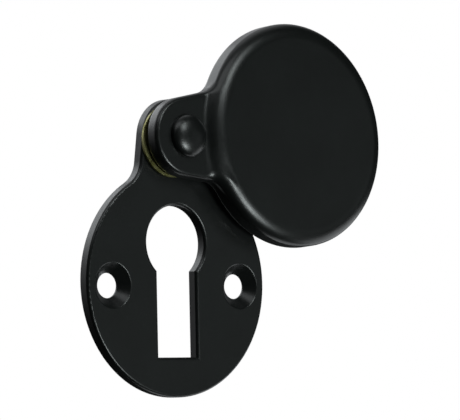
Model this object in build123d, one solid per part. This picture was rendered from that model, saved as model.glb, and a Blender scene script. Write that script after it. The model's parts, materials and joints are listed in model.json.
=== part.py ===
from build123d import *
import math
import os

# Covered keyhole escutcheon: a round plate with a keyhole, and a raised round cover
# that swings on a rivet above it. Millimetres, +Z up, +Y into the door, -Y towards the
# person at the door. Origin: midway between the two screw holes, on the plate's back.
#
# Every piece is drawn lying on its back: X to the right, Y up the door, Z off the door.
# upright() then stands it up in the part's own frame. The rivet leans a little, with its
# head higher than its tail, and the cover turns square to it.

# Back plate
plate_radius = 16.0
plate_centre_height = 0.4
plate_thickness = 1.6
plate_edge_round = 0.4
plate_ear_radius = 5.6
plate_ear_flare_deg = 7.3
neck_fillet = 4.0
pivot_height = 20.6

# Keyhole
keyhole_radius = 5.25
keyhole_centre_height = 6.0
keyhole_slot_width = 6.95
keyhole_slot_bottom = -10.0
keyhole_edge_round = 0.45

# Screw holes
screw_spacing = 23.0
screw_hole_radius = 1.75
countersink_radius = 3.2
countersink_depth = 1.35
countersink_rim_round = 0.25

# Swing cover
washer_gap = 0.72
cover_arm = 20.05
cover_radius = 16.05
cover_thickness = 3.55
cover_shoulder_width = 2.4
cover_shoulder_height = 1.4
cover_ear_radius = 5.6
cover_ear_flare_deg = 9.3
cover_ear_thickness = 2.2
cover_ear_edge_round = 0.55
cover_step_fillet = 1.45
cover_recess_radius = 12.8
cover_recess_depth = 1.1
cover_recess_round = 0.8
open_angle_deg = 92.4

# Rivet
rivet_lean_deg = 3.0
shank_radius = 1.65
shank_clearance = 0.05
head_flat_radius = 0.4
head_dome_width = 2.6
head_dome_height = 1.1
head_height = 1.35
tail_radius = 2.9
tail_depth = 1.2
tail_overrun = 0.3

# Spring washer: bowed, dropped to one side by the play in its bore, leaning half as much as the rivet
washer_radius = 5.1
washer_bore_radius = 2.95
washer_thickness = 0.36
washer_bow = 0.15
washer_stand_off = 0.05
washer_side_shift = 0.9
washer_drop = 0.4

# Heights closer than this count as one level
level_match = 0.001


def upright(shape):
    """Stands a piece drawn lying on its back up in the part's own frame."""
    return Rot(90, 0, 0) * shape


def on_pivot(shape, lean_deg):
    """Carries a piece drawn on its own axis to the pivot on the plate's front, leaning."""
    return Pos(0, pivot_height, plate_thickness) * Rot(-lean_deg, 0, 0) * shape


def post(radius, bottom, top):
    """Round post off the door from one height to another, on the drawing's own axis."""
    return Pos(0, 0, bottom) * Cylinder(
        radius, top - bottom, align=(Align.CENTER, Align.CENTER, Align.MIN)
    )


def funnel(bottom_radius, top_radius, bottom, top):
    """Cone between two heights, on the drawing's own axis."""
    return Pos(0, 0, bottom) * Cone(
        bottom_radius, top_radius, top - bottom, align=(Align.CENTER, Align.CENTER, Align.MIN)
    )


def turned_button(flat_radius, arc_width, arc_height, bottom, top):
    """Round button turned from a half section: an upright wall, then a quarter of an ellipse
    up to a flat top."""
    radius = flat_radius + arc_width
    wall_top = top - arc_height
    arc = EllipticalCenterArc((flat_radius, wall_top), arc_width, arc_height, arc_size=90)
    corners = [(flat_radius, top), (0, top), (0, bottom), (radius, bottom), (radius, wall_top)]
    half_section = make_face(Polyline(*corners) + arc)
    return revolve(Plane.XZ * half_section, Axis.Z)


def ear_outline(radius, flare_deg, length):
    """Tab round the origin: a round end, and sides that widen as they run down -Y."""
    flare = math.radians(flare_deg)
    start = (radius * math.cos(flare), radius * math.sin(flare))
    end = (start[0] + length * math.sin(flare), start[1] - length * math.cos(flare))
    corners = [start, end, (-end[0], end[1]), (-start[0], start[1])]
    return Circle(radius) + make_face(Polyline(*corners, close=True))


def front_edges(solid, height):
    """Edges that lie wholly in the plane at one height off the door."""
    return solid.edges().filter_by_position(Axis.Z, height - level_match, height + level_match)


def plate_blank():
    """Disc and ear in one outline, with filleted necks and a rounded front edge."""
    disc = Pos(0, plate_centre_height) * Circle(plate_radius)
    ear = ear_outline(plate_ear_radius, plate_ear_flare_deg, plate_radius / 2)
    outline = disc + Pos(0, pivot_height) * ear
    neck_low = plate_centre_height + plate_radius * 0.8
    neck_high = plate_centre_height + plate_radius
    necks = outline.vertices().filter_by_position(Axis.Y, neck_low, neck_high)
    blank = extrude(fillet(necks, neck_fillet), plate_thickness)
    return fillet(front_edges(blank, plate_thickness), plate_edge_round)


def keyhole():
    """Round head for the key's shank over a straight slot for its bit."""
    slot_height = keyhole_centre_height - keyhole_slot_bottom
    slot = Pos(0, keyhole_slot_bottom) * Rectangle(
        keyhole_slot_width, slot_height, align=(Align.CENTER, Align.MIN)
    )
    outline = slot + Pos(0, keyhole_centre_height) * Circle(keyhole_radius)
    return extrude(outline, plate_thickness)


def screw_hole():
    """Clearance hole with a countersink that opens on the plate's front."""
    cone_bottom = plate_thickness - countersink_depth
    hole = post(screw_hole_radius, 0, plate_thickness)
    return hole + funnel(screw_hole_radius, countersink_radius, cone_bottom, plate_thickness)


def cut_with_round(solid, cutter, height, radius):
    """Cuts a hole, then rounds the new edges that it leaves at one height."""
    cut = solid - cutter
    old_centres = [edge.center() for edge in front_edges(solid, height)]
    rim = [
        edge
        for edge in front_edges(cut, height)
        if min((edge.center() - old).length for old in old_centres) > radius
    ]
    return fillet(rim, radius)


def back_plate():
    plate = cut_with_round(plate_blank(), keyhole(), plate_thickness, keyhole_edge_round)
    for x in (-screw_spacing / 2, screw_spacing / 2):
        hole = Pos(x, 0, 0) * screw_hole()
        plate = cut_with_round(plate, hole, plate_thickness, countersink_rim_round)
    return plate - pivot_rivet()


def cover_ear():
    """Ear of the cover, with a rounded front edge, running into the disc."""
    outline = ear_outline(cover_ear_radius, cover_ear_flare_deg, cover_arm / 2)
    tab = extrude(outline, cover_ear_thickness)
    rim = front_edges(tab, cover_ear_thickness).sort_by(Axis.Y)[1:]
    return fillet(rim, cover_ear_edge_round)


def cover_disc():
    """Disc of the cover, with a broad elliptical shoulder."""
    face_radius = cover_radius - cover_shoulder_width
    disc = turned_button(
        face_radius, cover_shoulder_width, cover_shoulder_height, 0, cover_thickness
    )
    return Pos(0, -cover_arm, 0) * disc


def cover_recess():
    """Shallow round hollow in the cover's back, with a rounded floor edge."""
    recess = post(cover_recess_radius, -1, cover_recess_depth)
    recess = fillet(front_edges(recess, cover_recess_depth), cover_recess_round)
    return Pos(0, -cover_arm, 0) * recess


def swing_cover():
    """Cover drawn hanging closed below its pivot, then swung open."""
    disc = cover_disc()
    ear = cover_ear()
    cover = disc + ear
    cover = fillet(new_edges(disc, ear, combined=cover), cover_step_fillet)
    cover = cover - cover_recess()
    cover = cover - post(shank_radius + shank_clearance, 0, cover_ear_thickness)
    return on_pivot(Pos(0, 0, washer_gap) * Rot(0, 0, open_angle_deg) * cover, rivet_lean_deg)


def pivot_rivet():
    """Rivet: head over the cover's ear, plain shank, tail spread and cut flush behind the plate."""
    head_base = washer_gap + cover_ear_thickness + shank_clearance
    tail_base = -plate_thickness - tail_overrun
    head_top = head_base + head_height
    head = turned_button(head_flat_radius, head_dome_width, head_dome_height, head_base, head_top)
    rivet = post(shank_radius, tail_base, head_base) + head
    rivet = rivet + funnel(tail_radius, shank_radius, tail_base, tail_base + tail_depth)
    return split(on_pivot(rivet, rivet_lean_deg), bisect_by=Plane.XY, keep=Keep.TOP)


def spring_washer():
    """Bowed washer: its middle line is nearest the plate and its two ends stand off it."""
    bow_radius = (washer_radius**2 + washer_bow**2) / (2 * washer_bow)
    tube = Cylinder(bow_radius, 4 * washer_radius)
    tube = tube - Cylinder(bow_radius - washer_thickness, 4 * washer_radius)
    bent_sheet = Pos(0, 0, bow_radius) * Rot(0, 90, 0) * tube
    top = 2 * washer_thickness
    ring = post(washer_radius, -top, top) - post(washer_bore_radius, -top, top)
    washer = Pos(-washer_side_shift, -washer_drop, washer_stand_off) * (ring & bent_sheet)
    return on_pivot(washer, rivet_lean_deg / 2)


os.makedirs("parts", exist_ok=True)
pieces = {
    "back_plate": back_plate(),
    "swing_cover": swing_cover(),
    "spring_washer": spring_washer(),
    "pivot_rivet": pivot_rivet(),
}
for name, piece in pieces.items():
    export_step(upright(piece), f"parts/{name}.step")
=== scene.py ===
import json
import math

import bpy
import numpy as np
from mathutils import Matrix, Vector


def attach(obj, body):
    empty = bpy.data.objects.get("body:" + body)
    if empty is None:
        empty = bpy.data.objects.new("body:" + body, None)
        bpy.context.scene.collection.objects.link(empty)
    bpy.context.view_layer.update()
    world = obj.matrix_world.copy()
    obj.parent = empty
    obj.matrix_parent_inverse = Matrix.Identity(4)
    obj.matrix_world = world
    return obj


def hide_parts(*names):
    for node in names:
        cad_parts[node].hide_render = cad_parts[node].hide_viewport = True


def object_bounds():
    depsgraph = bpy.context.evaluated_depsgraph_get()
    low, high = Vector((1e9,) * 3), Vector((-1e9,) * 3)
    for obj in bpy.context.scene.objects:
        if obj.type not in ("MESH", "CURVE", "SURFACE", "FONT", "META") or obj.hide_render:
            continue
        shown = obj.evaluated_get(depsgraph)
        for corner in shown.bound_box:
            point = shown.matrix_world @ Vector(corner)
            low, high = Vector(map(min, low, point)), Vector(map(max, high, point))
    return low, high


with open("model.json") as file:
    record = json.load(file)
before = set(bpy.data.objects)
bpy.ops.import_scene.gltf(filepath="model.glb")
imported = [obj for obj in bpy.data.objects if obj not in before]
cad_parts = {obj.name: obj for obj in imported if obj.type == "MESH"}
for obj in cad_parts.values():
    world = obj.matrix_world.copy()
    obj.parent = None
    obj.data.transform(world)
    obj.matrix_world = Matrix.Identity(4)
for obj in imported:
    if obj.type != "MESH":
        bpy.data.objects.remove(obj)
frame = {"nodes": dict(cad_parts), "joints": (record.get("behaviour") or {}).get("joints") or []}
cad_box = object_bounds()
scene = bpy.context.scene
nodes = frame["nodes"]
middle = (cad_box[0] + cad_box[1]) / 2

# Camera. Lens and sensor in millimetres, places and distances in metres.
camera_lens, camera_sensor = 283.2, 36.0
camera_place = Vector((-0.32391, -0.38953, -0.01801))
camera_forward = Vector((0.65132, 0.75672, 0.05620))
camera_up = Vector((-0.02070, -0.05632, 0.99820))
nearest_seen, farthest_seen = 0.01, 50.0

# Studio. The wall is the part of the world behind and above the object. A direction's dot
# product with wall_side is wall_start where the wall begins and wall_full where it is brightest.
wall_side = (0, 1, 0.8)
wall_start, wall_full = 0.5, 1.05
room_glow, wall_glow = 0.013, 0.65
room_tint = (0.95, 0.97, 1.0)
lamp_distance = 1.0
cool_white = (0.92, 1.0, 0.995)
soft_white = (0.94, 0.98, 1.0)
floor_reach, floor_drop = 0.8, 0.02
floor_grey, floor_roughness = 0.8, 0.9


def link(tree, start, end):
    """Joins one node's output socket to another node's input socket."""
    tree.links.new(start, end)


# ---------------------------------------------------------------- camera
def make_camera():
    """The photograph's view: from the left and slightly below, through a long lens."""
    data = bpy.data.cameras.new("camera")
    data.sensor_fit = "HORIZONTAL"
    data.sensor_width = camera_sensor
    data.lens = camera_lens
    data.clip_start, data.clip_end = nearest_seen, farthest_seen
    camera = bpy.data.objects.new("camera", data)
    scene.collection.objects.link(camera)
    forward = camera_forward.normalized()
    right = forward.cross(camera_up).normalized()
    up = right.cross(forward)
    turn = Matrix((right, up, -forward)).transposed()
    camera.matrix_world = Matrix.Translation(camera_place) @ turn.to_4x4()
    scene.camera = camera


# ---------------------------------------------------------------- world and lights
def make_world():
    """Plain white to the camera, and to everything else a dim room with a bright wall."""
    world = bpy.data.worlds.new("studio")
    world.use_nodes = True
    scene.world = world
    tree = world.node_tree
    n = tree.nodes
    n.clear()
    out = n.new("ShaderNodeOutputWorld")
    mix = n.new("ShaderNodeMixShader")
    path = n.new("ShaderNodeLightPath")
    seen = n.new("ShaderNodeBackground")
    seen.inputs["Color"].default_value = (1, 1, 1, 1)
    lit = n.new("ShaderNodeBackground")
    lit.inputs["Color"].default_value = (*room_tint, 1)
    coord = n.new("ShaderNodeTexCoord")
    towards_wall = n.new("ShaderNodeVectorMath")
    towards_wall.operation = "DOT_PRODUCT"
    towards_wall.inputs[1].default_value = wall_side
    glow = n.new("ShaderNodeMapRange")
    glow.interpolation_type = "SMOOTHSTEP"
    glow.inputs["From Min"].default_value = wall_start
    glow.inputs["From Max"].default_value = wall_full
    glow.inputs["To Min"].default_value = room_glow
    glow.inputs["To Max"].default_value = wall_glow
    link(tree, coord.outputs["Generated"], towards_wall.inputs[0])
    link(tree, towards_wall.outputs["Value"], glow.inputs["Value"])
    link(tree, glow.outputs[0], lit.inputs["Strength"])
    link(tree, path.outputs["Is Camera Ray"], mix.inputs[0])
    link(tree, lit.outputs[0], mix.inputs[1])
    link(tree, seen.outputs[0], mix.inputs[2])
    link(tree, mix.outputs[0], out.inputs["Surface"])


def softbox(name, azimuth, elevation, width, height, glow, tint=soft_white):
    """Area light aimed at the object's middle. Azimuth 0 is in front of the plate, positive to
    the right, and both angles are in degrees. Width and height are in metres, and glow is the
    brightness of its face, whatever its size."""
    a, e = math.radians(azimuth), math.radians(elevation)
    away = Vector((math.sin(a) * math.cos(e), -math.cos(a) * math.cos(e), math.sin(e)))
    data = bpy.data.lights.new(name, "AREA")
    data.shape = "RECTANGLE"
    data.size, data.size_y = width, height
    data.energy = glow * math.pi * width * height
    data.color = tint
    lamp = bpy.data.objects.new(name, data)
    scene.collection.objects.link(lamp)
    lamp.location = middle + away * lamp_distance
    lamp.rotation_mode = "QUATERNION"
    lamp.rotation_quaternion = (-away).to_track_quat("-Z", "Y")
    lamp.visible_camera = False


def make_floor():
    """Pale floor just below the object. The camera sees it, but it casts no shadow and isn't
    reflected in the object."""
    mesh = bpy.data.meshes.new("floor")
    s, z = floor_reach, cad_box[0].z - floor_drop
    mesh.from_pydata([(-s, -s, z), (s, -s, z), (s, s, z), (-s, s, z)], [], [(0, 1, 2, 3)])
    floor = bpy.data.objects.new("floor", mesh)
    scene.collection.objects.link(floor)
    mat = bpy.data.materials.new("floor")
    mat.use_nodes = True
    b = mat.node_tree.nodes["Principled BSDF"]
    b.inputs["Base Color"].default_value = (floor_grey, floor_grey, floor_grey, 1)
    b.inputs["Roughness"].default_value = floor_roughness
    floor.data.materials.append(mat)
    floor.visible_glossy = False
    floor.visible_diffuse = False
    floor.visible_shadow = False


# ---------------------------------------------------------------- cast cover
# Millimetres in the cover's own frame: a runs from the pivot along the arm to the disc,
# b across it, and h off the door from the cover's back. A field is negative inside. The disc
# is 0.01 mm smaller in radius than the solid it stands for, so that it stays inside its box.
disc_arm, disc_radius, disc_height = 20.05, 16.04, 3.55
shoulder_width, shoulder_height = 2.4, 1.4
ear_radius, ear_flare, ear_height, ear_round = 5.6, math.radians(9.3), 2.2, 0.55
recess_radius, recess_depth, recess_round = 12.8, 1.1, 0.8
bore_radius = 1.7
back_round, rim_round = 0.35, 0.7

# Near the disc, within neck_reach of it, the ear's lower edge is rounder by neck_round. The
# step up to the disc is filled over step_blend, which just clears the rivet's head. Going in
# from the disc's edge, the fill is whole as far as fill_whole and gone by fill_gone.
neck_round, neck_reach = 1.1, 2.6
step_blend, least_blend = 1.4, 0.001
fill_whole, fill_gone = shoulder_width / 4, 1.5 * shoulder_width

# Mesh. The grid's low corner is set so that no plane of the grid lies on a flat face.
cell = 0.18
grid_low, grid_high = (-6.2, -17.0, -0.47), (37.0, 17.0, 4.3)
settling_steps = 8
slope_step = 0.004
least_slope_squared = 0.05
least_slope = 1e-6

# Place on the hinge
cover_lift = 0.72
cover_open = math.radians(92.4)
metres_per_mm = 0.001


def soft_union(first, second, width):
    """Union of two fields, with the hollow corner between them filled smoothly."""
    near = np.maximum(width - np.abs(first - second), 0) / width
    return np.minimum(first, second) - near**2 * width / 4


def soft_overlap(first, second, width):
    """Overlap of two fields, with the sharp edge between them rounded."""
    return -soft_union(-first, -second, width)


def round_overlap(first, second, radius):
    """Overlap of two square faces, with the edge between them rounded by an arc."""
    f, s = first + radius, second + radius
    outside = np.hypot(np.maximum(f, 0), np.maximum(s, 0))
    return np.minimum(np.maximum(f, s), 0) + outside - radius


def ease(value, low, high):
    """Rises smoothly from 0 to 1 between two values."""
    t = np.clip((value - low) / (high - low), 0, 1)
    return t * t * (3 - 2 * t)


def disc_field(r, h):
    """Disc with upright sides and a shoulder that is a quarter of an ellipse. Its lower side
    is left open here, and the back is cut flat in cover_field."""
    x = r - (disc_radius - shoulder_width)
    y = h - (disc_height - shoulder_height)
    k = np.hypot(x / shoulder_width, y / shoulder_height)
    slope = np.hypot(x / shoulder_width**2, y / shoulder_height**2)
    shoulder = k * (k - 1) / np.maximum(slope, least_slope)
    front = np.where(x > 0, shoulder, y - shoulder_height)
    return np.where(y > 0, front, np.maximum(x - shoulder_width, y - shoulder_height))


def ear_field(a, b, r, h):
    """Ear with a round end, sides that widen towards the disc, and a rounded front edge. It
    ends just inside the disc's shoulder, and its lower edge is rounder near the disc."""
    lower_side = ease(-b, 0, ear_radius / 2)
    near_disc = ease(disc_radius + neck_reach - r, 0, neck_reach)
    edge_round = ear_round + neck_round * lower_side * near_disc
    b = np.abs(b)
    past_round = b * math.sin(ear_flare) + a * math.cos(ear_flare) > 0
    side = b * math.cos(ear_flare) - a * math.sin(ear_flare) - ear_radius
    outline = np.where(past_round, side, np.hypot(a, b) - ear_radius)
    inner_end = np.maximum(a - disc_arm / 2, disc_radius - shoulder_width / 2 - r)
    outline = np.maximum(outline, inner_end)
    return round_overlap(outline, h - ear_height, edge_round)


def cover_field(p):
    """The whole casting. On the ear's lower side the step up to the disc starts on a straight
    line, so the fill widens there as the disc's edge falls away from that line. The fill
    fades out before the disc's flat face."""
    a, b, h = p
    r = np.hypot(a - disc_arm, b)
    below = np.clip(-b, 0, ear_radius + ear_round)
    fall = disc_radius - np.sqrt(disc_radius**2 - below**2)
    fill = step_blend + fall * ease(h, ear_height / 2, ear_height)
    fill = fill * ease(r, disc_radius - fill_gone, disc_radius - fill_whole)
    body = soft_union(disc_field(r, h), ear_field(a, b, r, h), fill + least_blend)
    body = soft_overlap(body, -h, back_round)
    recess = round_overlap(r - recess_radius, h - recess_depth, recess_round)
    body = soft_overlap(body, -recess, rim_round)
    return soft_overlap(body, bore_radius - np.hypot(a, b), back_round)


def field_slope(p):
    """The field's slope at each point, and the square of its length."""
    slope = []
    for axis in range(3):
        shift = np.zeros((3, 1))
        shift[axis] = slope_step
        slope.append((cover_field(p + shift) - cover_field(p - shift)) / (2 * slope_step))
    slope = np.array(slope)
    return slope, np.maximum((slope**2).sum(0), least_slope_squared)


def surface(low, high):
    """Closed mesh of the field's surface: one point in each cell of the grid that it crosses,
    moved onto it, and a four-sided face round each edge of the grid that it crosses. A cell is
    crossed where some of its eight corners are inside and some are outside."""
    low, high = np.array(low), np.array(high)
    count = np.ceil((high - low) / cell).astype(int)
    grid = [start + cell * np.arange(n) for start, n in zip(low, count)]
    inside = cover_field(np.array(np.meshgrid(*grid, indexing="ij"))) < 0
    corner_count = sum(
        inside[i:n0, j:n1, k:n2].astype(int)
        for i, n0 in ((0, -1), (1, None))
        for j, n1 in ((0, -1), (1, None))
        for k, n2 in ((0, -1), (1, None))
    )
    crossed = (corner_count > 0) & (corner_count < 8)
    point_index = np.full(crossed.shape, -1)
    point_index[crossed] = np.arange(crossed.sum())
    points = low[:, None] + cell * (np.array(np.nonzero(crossed)) + 0.5)
    for _ in range(settling_steps):
        slope, slope_squared = field_slope(points)
        points = points - slope * cover_field(points) / slope_squared
    faces = []
    for axis in range(3):
        u, v = (axis + 1) % 3, (axis + 2) % 3
        ahead = np.roll(inside, -1, axis)
        for start, end, turn in ((inside, ahead, 1), (ahead, inside, -1)):
            at = np.array(np.nonzero(start & ~end))
            step_u, step_v = np.zeros((3, 1), int), np.zeros((3, 1), int)
            step_u[u], step_v[v] = 1, 1
            ring = [at, at - step_u, at - step_u - step_v, at - step_v][::turn]
            faces.append(np.array([point_index[tuple(q)] for q in ring]).T)
    return points, np.concatenate(faces)


def make_cover():
    """The casting's mesh, carried to its place on the hinge and swung open."""
    joint = frame["joints"][0]
    pivot = Vector(joint["pos_m"])
    off = -Vector(joint["axis"]).normalized()
    right = Vector((1, 0, 0))
    up = off.cross(right)
    along = right * math.sin(cover_open) - up * math.cos(cover_open)
    across = off.cross(along)
    points, faces = surface(grid_low, grid_high)
    turn = np.array([along, across, off]).T
    points[2] += cover_lift
    placed = (turn @ points * metres_per_mm).T + np.array(pivot)
    mesh = bpy.data.meshes.new("cast_cover")
    mesh.from_pydata(placed.tolist(), [], faces.tolist())
    mesh.validate()
    mesh.shade_smooth()
    cover = bpy.data.objects.new("cast_cover", mesh)
    scene.collection.objects.link(cover)
    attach(cover, "cover")
    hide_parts("swing_cover")
    return cover


# ---------------------------------------------------------------- materials
# Colours are linear, and sizes and depths are in metres.
paint_dark, paint_pale = (0.0038, 0.0047, 0.0043), (0.0062, 0.0076, 0.0071)
# The edges' lighter tone is partly paint wear and partly a painted highlight along the edges.
speck_tone, worn_and_highlight_tone = (0.013, 0.0155, 0.015), (0.014, 0.016, 0.0155)
paint_smooth, paint_rough = 0.275, 0.325
cloud_size, speck_size, wear_size = 0.007, 0.00022, 0.0012
grain_size, wave_size, peel_size = 0.0004, 0.0034, 0.0006
wave_depth, peel_depth = 0.000014, 0.0000032
edge_width = 0.00018
edge_begins, edge_full = 0.995, 0.93

brass_dark, brass_pale = (0.17, 0.165, 0.055), (0.42, 0.40, 0.19)
stain_tone = (0.055, 0.055, 0.018)
brass_smooth, brass_rough = 0.42, 0.58
patch_size, stain_size, scratch_size = 0.0019, 0.0009, 0.00018
scratch_depth = 0.000003


def noise(tree, coord, size, detail=2.0, rough=0.5, distortion=0.0):
    """Noise whose features are about this many metres across, in the object's own frame."""
    node = tree.nodes.new("ShaderNodeTexNoise")
    node.inputs["Scale"].default_value = 1.0 / size
    node.inputs["Detail"].default_value = detail
    node.inputs["Roughness"].default_value = rough
    node.inputs["Distortion"].default_value = distortion
    link(tree, coord, node.inputs["Vector"])
    return node.outputs["Fac"]


def remap(tree, value, low, high, to_low=0.0, to_high=1.0):
    """Spreads a value's middle range over a new range, clamped at both ends."""
    node = tree.nodes.new("ShaderNodeMapRange")
    for key, number in (
        ("From Min", low), ("From Max", high), ("To Min", to_low), ("To Max", to_high)
    ):
        node.inputs[key].default_value = number
    link(tree, value, node.inputs["Value"])
    return node.outputs["Result"]


def blend(tree, value, first, second):
    """Colour between two colours, each of them fixed or from another node."""
    node = tree.nodes.new("ShaderNodeMixRGB")
    link(tree, value, node.inputs["Fac"])
    for socket, colour in ((node.inputs["Color1"], first), (node.inputs["Color2"], second)):
        if isinstance(colour, tuple):
            socket.default_value = (*colour, 1)
        else:
            link(tree, colour, socket)
    return node.outputs["Color"]


def relief(tree, height, depth, under=None):
    """Bump of this many metres from a height that runs from 0 to 1."""
    node = tree.nodes.new("ShaderNodeBump")
    node.inputs["Distance"].default_value = depth
    link(tree, height, node.inputs["Height"])
    if under is not None:
        link(tree, under, node.inputs["Normal"])
    return node.outputs["Normal"]


def new_material(name):
    """New node material, with its tree, its shader and the object's own coordinates."""
    mat = bpy.data.materials.new(name)
    mat.use_nodes = True
    tree = mat.node_tree
    coord = tree.nodes.new("ShaderNodeTexCoord").outputs["Object"]
    return mat, tree, tree.nodes["Principled BSDF"], coord


def worn_and_highlit_edges(tree, radius):
    """Mask for edge wear that is partly a painted highlight: 0 on flats and 1 on edges and in
    corners, from the turn of a bevelled normal.
    """
    bevel = tree.nodes.new("ShaderNodeBevel")
    bevel.inputs["Radius"].default_value = radius
    geometry = tree.nodes.new("ShaderNodeNewGeometry")
    dot = tree.nodes.new("ShaderNodeVectorMath")
    dot.operation = "DOT_PRODUCT"
    link(tree, bevel.outputs["Normal"], dot.inputs[0])
    link(tree, geometry.outputs["Normal"], dot.inputs[1])
    return remap(tree, dot.outputs["Value"], edge_begins, edge_full)


def times(tree, first, second):
    """Product of two values."""
    node = tree.nodes.new("ShaderNodeMath")
    node.operation = "MULTIPLY"
    link(tree, first, node.inputs[0])
    link(tree, second, node.inputs[1])
    return node.outputs["Value"]


def black_paint():
    """Satin black powder coat: fine orange peel over a slow waviness, cloudy tone, a sparse
    grain of specks, and a lighter, greyer tone in patches along the edges, partly a worn coat
    and partly a painted highlight."""
    mat, tree, b, coord = new_material("black_paint")
    cloud = remap(tree, noise(tree, coord, cloud_size, detail=3.0, rough=0.55), 0.3, 0.7)
    tone = blend(tree, cloud, paint_dark, paint_pale)
    specks = remap(tree, noise(tree, coord, speck_size, detail=1.0), 0.68, 0.78, to_high=0.8)
    tone = blend(tree, specks, tone, speck_tone)
    patchy = remap(tree, noise(tree, coord, wear_size, detail=3.0, rough=0.6), 0.4, 0.65)
    # Lighter tone on edges and corners: partly paint wear, partly a painted highlight standing
    # in for the edges' reflections.
    worn_and_highlit = times(tree, worn_and_highlit_edges(tree, edge_width), patchy)
    tone = blend(tree, worn_and_highlit, tone, worn_and_highlight_tone)
    link(tree, tone, b.inputs["Base Color"])
    grain = noise(tree, coord, grain_size, rough=0.6)
    link(tree, remap(tree, grain, 0.3, 0.7, paint_smooth, paint_rough), b.inputs["Roughness"])
    wave = relief(tree, noise(tree, coord, wave_size, detail=1.0), wave_depth)
    peel = relief(tree, noise(tree, coord, peel_size, detail=1.5), peel_depth, wave)
    link(tree, peel, b.inputs["Normal"])
    return mat


def bare_brass():
    """Dull brass sheet: olive tarnish in patches, dark stains, and fine rolling scratches."""
    mat, tree, b, coord = new_material("bare_brass")
    mottle = noise(tree, coord, patch_size, detail=4.0, rough=0.6, distortion=0.6)
    patches = remap(tree, mottle, 0.38, 0.62)
    tone = blend(tree, patches, brass_dark, brass_pale)
    spots = noise(tree, coord, stain_size, detail=3.0, rough=0.65)
    stains = remap(tree, spots, 0.56, 0.66, to_high=0.8)
    tone = blend(tree, stains, tone, stain_tone)
    link(tree, tone, b.inputs["Base Color"])
    b.inputs["Metallic"].default_value = 1.0
    link(tree, remap(tree, patches, 0.0, 1.0, brass_rough, brass_smooth), b.inputs["Roughness"])
    scratch = noise(tree, coord, scratch_size, detail=3.0, rough=0.7)
    scratches = relief(tree, scratch, scratch_depth)
    link(tree, scratches, b.inputs["Normal"])
    return mat


def dress(node, material):
    """Gives a CAD node one material."""
    mesh = nodes[node].data
    mesh.materials.clear()
    mesh.materials.append(material)


paint, brass = black_paint(), bare_brass()
make_cover().data.materials.append(paint)
for name in ("back_plate", "swing_cover", "pivot_rivet"):
    dress(name, paint)
dress("spring_washer", brass)
make_camera()
make_world()
make_floor()

# Name, azimuth, elevation, width, height, glow and tint
softbox("back", -172, 28, 0.8, 0.45, 2.1)
softbox("overhead", -38, 50, 0.95, 0.45, 1.5)
softbox("upper_front", 12, 30, 0.28, 0.26, 8.0, cool_white)
softbox("lower_front", 11, -18, 0.3, 0.25, 15.5, cool_white)
softbox("level_side", 48, 3, 0.4, 0.3, 0.25, cool_white)
softbox("lower_right", 85, -28, 0.9, 0.6, 1.5)
softbox("under", 115, -60, 0.7, 0.6, 1.2)
softbox("top", 90, 75, 0.7, 0.7, 0.4)
scene.view_settings.view_transform = "Standard"
